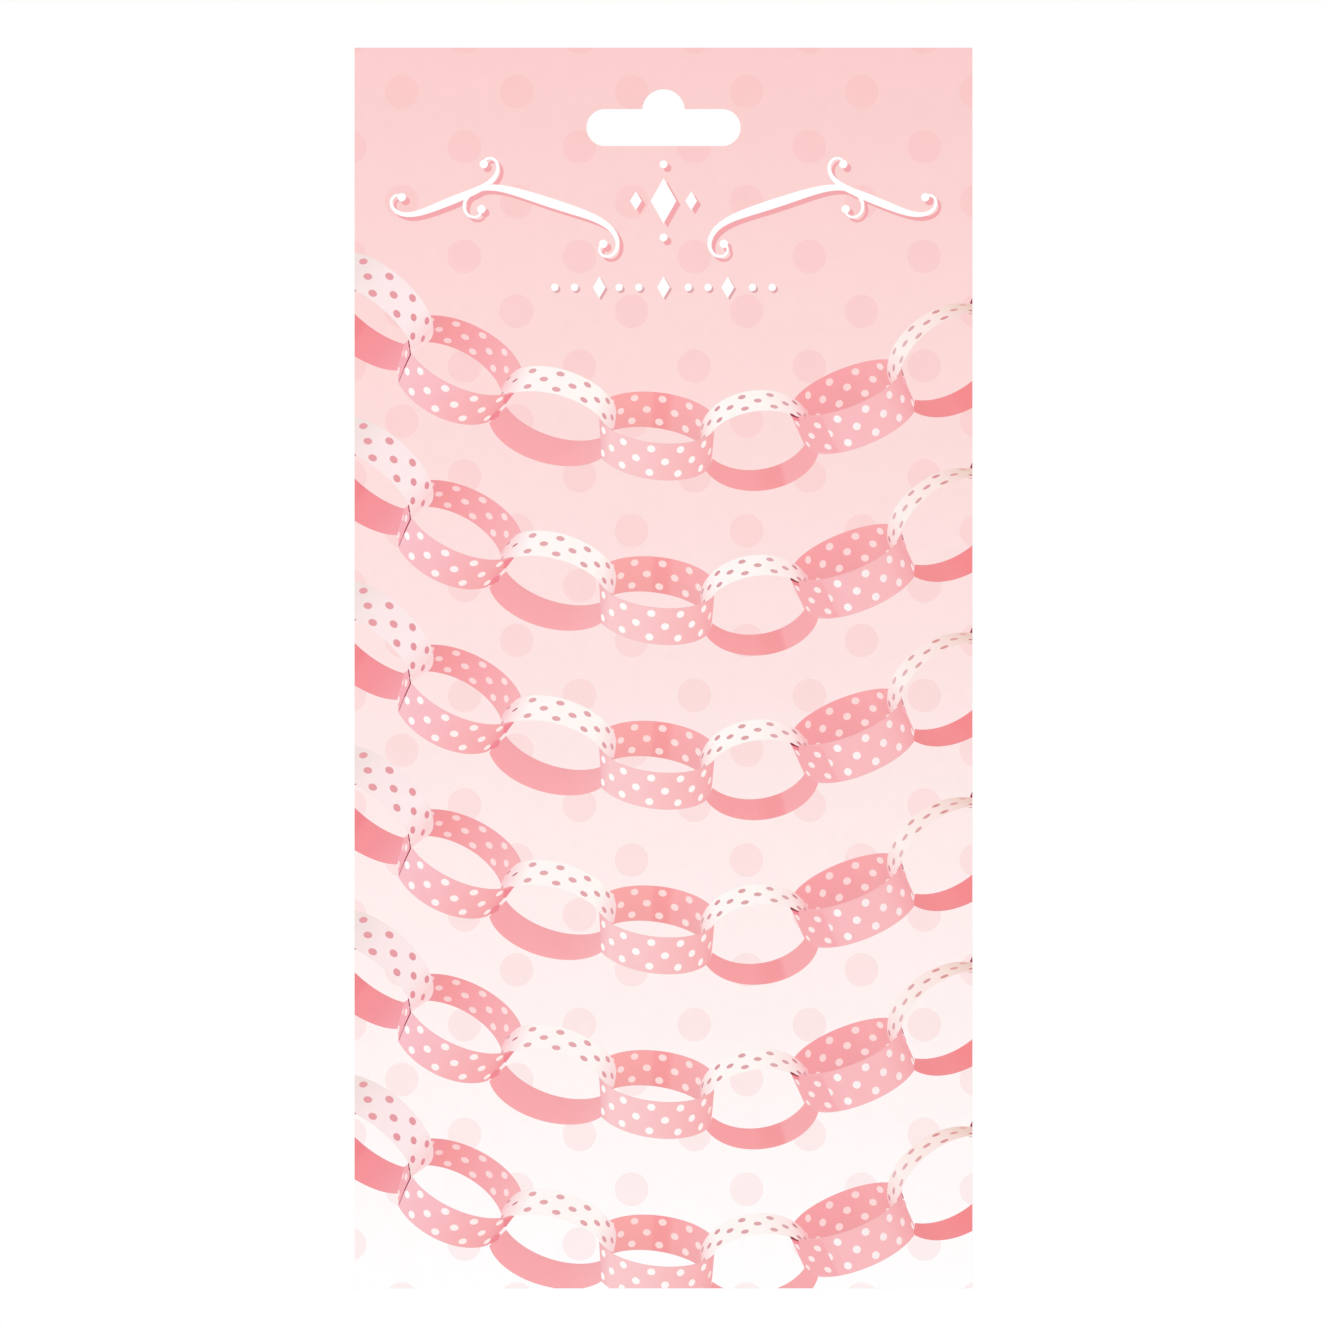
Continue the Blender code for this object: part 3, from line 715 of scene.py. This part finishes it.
class Nodes:
    """A material's nodes, added one at a time and joined by name."""

    def __init__(self, name):
        self.material = bpy.data.materials.new(name)
        self.material.use_nodes = True
        self.tree = self.material.node_tree
        self.shader = self.tree.nodes["Principled BSDF"]

    def add(self, kind, inputs=None, **settings):
        made = self.tree.nodes.new("ShaderNode" + kind)
        for key, value in settings.items():
            setattr(made, key, value)
        for key, value in (inputs or {}).items():
            self.put(value, made.inputs[key])
        return made

    def put(self, value, socket):
        if isinstance(value, bpy.types.NodeSocket):
            self.tree.links.new(value, socket)
        else:
            socket.default_value = value

    def ramp(self, factor, stops):
        """A smooth ramp of colours, each stop a place from 0 to 1 and a linear colour."""
        made = self.add("ValToRGB", {"Fac": factor})
        elements = made.color_ramp.elements
        while len(elements) < len(stops):
            elements.new(1.0)
        for element, (place, colour) in zip(elements, stops):
            element.position = place
            element.color = colour
        return made.outputs["Color"]

    def mix(self, factor, low, high, blend="MIX"):
        made = self.add("Mix", data_type="RGBA", blend_type=blend)
        self.put(factor, made.inputs[MIX_FACTOR])
        self.put(low, made.inputs[MIX_LOW])
        self.put(high, made.inputs[MIX_HIGH])
        return made.outputs[MIX_RESULT]

    def place(self):
        """Where a point is on the object, in metres."""
        return self.add("TexCoord").outputs["Object"]

    def noise(self, scale, detail=2.0, roughness=0.5, stretch=None):
        vector = self.place()
        if stretch:
            vector = self.add("Mapping", {"Vector": vector, "Scale": stretch}).outputs["Vector"]
        wanted = {"Vector": vector, "Scale": scale, "Detail": detail, "Roughness": roughness}
        return self.add("TexNoise", wanted).outputs["Fac"]

    def span(self, value, low, high, start=0.3, stop=0.7):
        """Maps a noise's usual range onto low to high."""
        wanted = {"Value": value, "From Min": start, "From Max": stop, "To Min": low, "To Max": high}
        return self.add("MapRange", wanted).outputs["Result"]

    def bump(self, height, strength, distance):
        wanted = {"Height": height, "Strength": strength, "Distance": distance}
        return self.add("Bump", wanted).outputs["Normal"]


# Mottling of printed ink: how much darker its darkest clouds are, and how many clouds there are to a metre
MOTTLE_DEPTH = 0.022
MOTTLE_SCALE = 260.0

# The coated board's fine tooth, and its gloss
TOOTH_SCALE = 2600.0
TOOTH_HEIGHT = 0.00001
TOOTH_STRENGTH = 0.25
INK_ROUGHNESS = (0.40, 0.48)
COAT_WEIGHT = 0.12
COAT_ROUGHNESS = 0.3
WHITE = (1.0, 1.0, 1.0, 1.0)


def printed_finish(nodes, colour):
    """Ink on coated board: faint mottling, a satin gloss and the paper's fine tooth."""
    cloud = nodes.span(nodes.noise(MOTTLE_SCALE, detail=4.0, roughness=0.6), 0.0, 1.0)
    low = 1 - MOTTLE_DEPTH
    clouds = nodes.mix(cloud, (low, low, low, 1.0), WHITE)
    nodes.put(nodes.mix(1.0, colour, clouds, "MULTIPLY"), nodes.shader.inputs["Base Color"])
    tooth = nodes.noise(TOOTH_SCALE, detail=3.0)
    nodes.put(nodes.span(tooth, *INK_ROUGHNESS), nodes.shader.inputs["Roughness"])
    nodes.put(nodes.bump(tooth, TOOTH_STRENGTH, TOOTH_HEIGHT), nodes.shader.inputs["Normal"])
    nodes.shader.inputs["Coat Weight"].default_value = COAT_WEIGHT
    nodes.shader.inputs["Coat Roughness"].default_value = COAT_ROUGHNESS
    return nodes.material


def ground_ramp(nodes):
    """The ground's colour, from the card's top edge to its bottom edge."""
    height = nodes.add("SeparateXYZ", {"Vector": nodes.place()}).outputs["Z"]
    wanted = {"Value": height, "From Min": HIGH.z * MM, "From Max": LOW.z * MM}
    fall = nodes.add("MapRange", wanted).outputs["Result"]
    return nodes.ramp(fall, [(share, ink(code)) for share, code in GROUND_COLOURS])


def ground_material():
    nodes = Nodes("ground")
    return printed_finish(nodes, ground_ramp(nodes))


def spot_material():
    nodes = Nodes("spot")
    return printed_finish(nodes, nodes.mix(SPOT_STRENGTH, ground_ramp(nodes), ink(SPOT_TINT)))


def plain_ink(name, code):
    nodes = Nodes(name)
    return printed_finish(nodes, ink(code))


# Across a band of paper, its cut edges print as thin deeper lines
EDGE_SHARE = 0.035
EDGE_DEPTH = 0.05


def paper_nodes(name):
    """A material's nodes with its place on the paper: from 0 to 1 along all the angles, and across."""
    nodes = Nodes(name)
    place = nodes.add("Attribute", attribute_name="paper").outputs["Vector"]
    split = nodes.add("SeparateXYZ", {"Vector": place})
    wanted = {"Value": split.outputs["X"], "From Min": ANGLE_START / 360, "From Max": ANGLE_END / 360}
    return nodes, nodes.add("MapRange", wanted).outputs["Result"], split.outputs["Y"]


def shade_ramp(nodes, along, shades):
    reach = ANGLE_END - ANGLE_START
    return nodes.ramp(along, [((angle - ANGLE_START) / reach, ink(code)) for angle, code in shades])


def dots_material(band):
    """The dots on a band, with colours along it."""
    nodes, along, _ = paper_nodes(dots_name(band))
    return printed_finish(nodes, shade_ramp(nodes, along, band.dots.shades))


def paper_material(band):
    """A band of paper: colours along it, deeper or paler across it, with thin deeper rims."""
    nodes, along, share = paper_nodes(paper_name(band))
    colour = shade_ramp(nodes, along, band.shades)
    edge = 1 - EDGE_DEPTH
    upper, lower = 1 + band.fall, 1 - band.fall
    stops = (
        (0.0, [upper * edge] * 3 + [1.0]),
        (EDGE_SHARE, [upper] * 3 + [1.0]),
        (1 - EDGE_SHARE, [lower] * 3 + [1.0]),
        (1.0, [lower * edge] * 3 + [1.0]),
    )
    across = nodes.ramp(share, stops)
    return printed_finish(nodes, nodes.mix(1.0, colour, across, "MULTIPLY"))


# Bare board: its fibres lie across the card, the darkest and palest by these shares of its own colour, and
# clouds of smoother board hide some of them
BACK_FIBRES, CORE_FIBRES = 1200.0, 3000.0
FIBRE_STRETCH = (1.0, 1.0, 2.6)
FIBRE_DARK, FIBRE_PALE = 0.93, 1.02
FIBRE_HEIGHT = 0.00002
FIBRE_STRENGTH = 0.35
CLOUD_SCALE = 90.0
CLOUD_SHARE = 0.25
BOARD_ROUGHNESS = (0.75, 0.9)


def board_material(name, code, fibre_scale):
    """Bare board: pale fibres and specks, rough, with no gloss."""
    nodes = Nodes(name)
    fibres = nodes.span(nodes.noise(fibre_scale, detail=6.0, roughness=0.7, stretch=FIBRE_STRETCH), 0.0, 1.0)
    clouds = nodes.span(nodes.noise(CLOUD_SCALE, detail=3.0), 0.0, CLOUD_SHARE)
    base = ink(code)
    darker = [c * FIBRE_DARK for c in base[:3]] + [1.0]
    paler = [min(1.0, c * FIBRE_PALE) for c in base[:3]] + [1.0]
    mixed = nodes.mix(fibres, darker, paler)
    nodes.put(nodes.mix(clouds, mixed, base), nodes.shader.inputs["Base Color"])
    nodes.put(nodes.span(fibres, *BOARD_ROUGHNESS, start=0.0, stop=1.0), nodes.shader.inputs["Roughness"])
    nodes.put(nodes.bump(fibres, FIBRE_STRENGTH, FIBRE_HEIGHT), nodes.shader.inputs["Normal"])
    return nodes.material


def card_materials():
    made = {"ground": ground_material(), "spot": spot_material()}
    for band in BANDS:
        made[paper_name(band)] = paper_material(band)
        if band.dots:
            made[dots_name(band)] = dots_material(band)
    for name, code in PRINT_COLOURS.items():
        made[name] = plain_ink(name, code)
    made["board_core"] = board_material("board_core", BOARD_CORE, CORE_FIBRES)
    made["board_back"] = board_material("board_back", BOARD_BACK, BACK_FIBRES)
    return made


# The studio, in metres and watts
FLOOR_RADIUS = 3.4
FLOOR_SIDES = 96
FLOOR_BELOW_CARD = 0.35
FLOOR_SPECKLES = 40.0
FLOOR_DARK, FLOOR_PALE = (0.95, 0.95, 0.95, 1.0), (0.97, 0.97, 0.97, 1.0)
FLOOR_ROUGHNESS = 0.8
ROOM_STRENGTH = 1.0
LAMP_SIZE = 1.2
LAMP_POWER = 4.0
LAMP_PLACE = (-0.7, -1.4, 0.6)


def make_floor():
    """A wide white floor, well below the hanging card."""
    shape = bmesh.new()
    bmesh.ops.create_circle(shape, cap_ends=True, radius=FLOOR_RADIUS, segments=FLOOR_SIDES)
    mesh = bpy.data.meshes.new("studio_floor")
    shape.to_mesh(mesh)
    shape.free()
    floor = bpy.data.objects.new("studio_floor", mesh)
    floor.location = (0, 0, LOW.z * MM - FLOOR_BELOW_CARD)
    bpy.context.scene.collection.objects.link(floor)
    nodes = Nodes("floor_paint")
    speckle = nodes.span(nodes.noise(FLOOR_SPECKLES, detail=4.0), 0.0, 1.0)
    nodes.put(nodes.mix(speckle, FLOOR_DARK, FLOOR_PALE), nodes.shader.inputs["Base Color"])
    nodes.shader.inputs["Roughness"].default_value = FLOOR_ROUGHNESS
    mesh.materials.append(nodes.material)
    floor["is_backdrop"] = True


def make_light():
    """An even white room, and one large soft lamp from the upper left."""
    world = bpy.data.worlds.new("white room")
    bpy.context.scene.world = world
    world.use_nodes = True
    background = world.node_tree.nodes["Background"]
    background.inputs["Color"].default_value = WHITE
    background.inputs["Strength"].default_value = ROOM_STRENGTH
    data = bpy.data.lights.new("softbox", "AREA")
    data.shape = "SQUARE"
    data.size = LAMP_SIZE
    data.energy = LAMP_POWER
    lamp = bpy.data.objects.new("softbox", data)
    lamp.location = LAMP_PLACE
    aim = Vector((0, 0, MIDDLE_Z * MM)) - lamp.location
    lamp.rotation_euler = aim.to_track_quat("-Z", "Y").to_euler()
    bpy.context.scene.collection.objects.link(lamp)


def make_camera():
    """Straight in front of the card, far off, as the card shows no perspective."""
    data = bpy.data.cameras.new("camera")
    data.lens = LENS
    data.sensor_width = SENSOR
    camera = bpy.data.objects.new("camera", data)
    distance = VIEW_WIDTH * LENS / SENSOR
    camera.location = (0, (LOW.y - distance) * MM, (MIDDLE_Z + VIEW_ABOVE_MIDDLE) * MM)
    camera.rotation_euler = (math.radians(90), 0, 0)
    bpy.context.scene.collection.objects.link(camera)
    bpy.context.scene.camera = camera


bpy.context.scene.view_settings.view_transform = "Standard"
make_camera()
make_light()
make_floor()
card = make_card(card_materials())
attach(card, "root")
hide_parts("hanging_card")

visual_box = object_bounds()
boxes = {"cad": cad_box, "visual": visual_box}
{name: [list(corner) for corner in box] for name, box in boxes.items()}
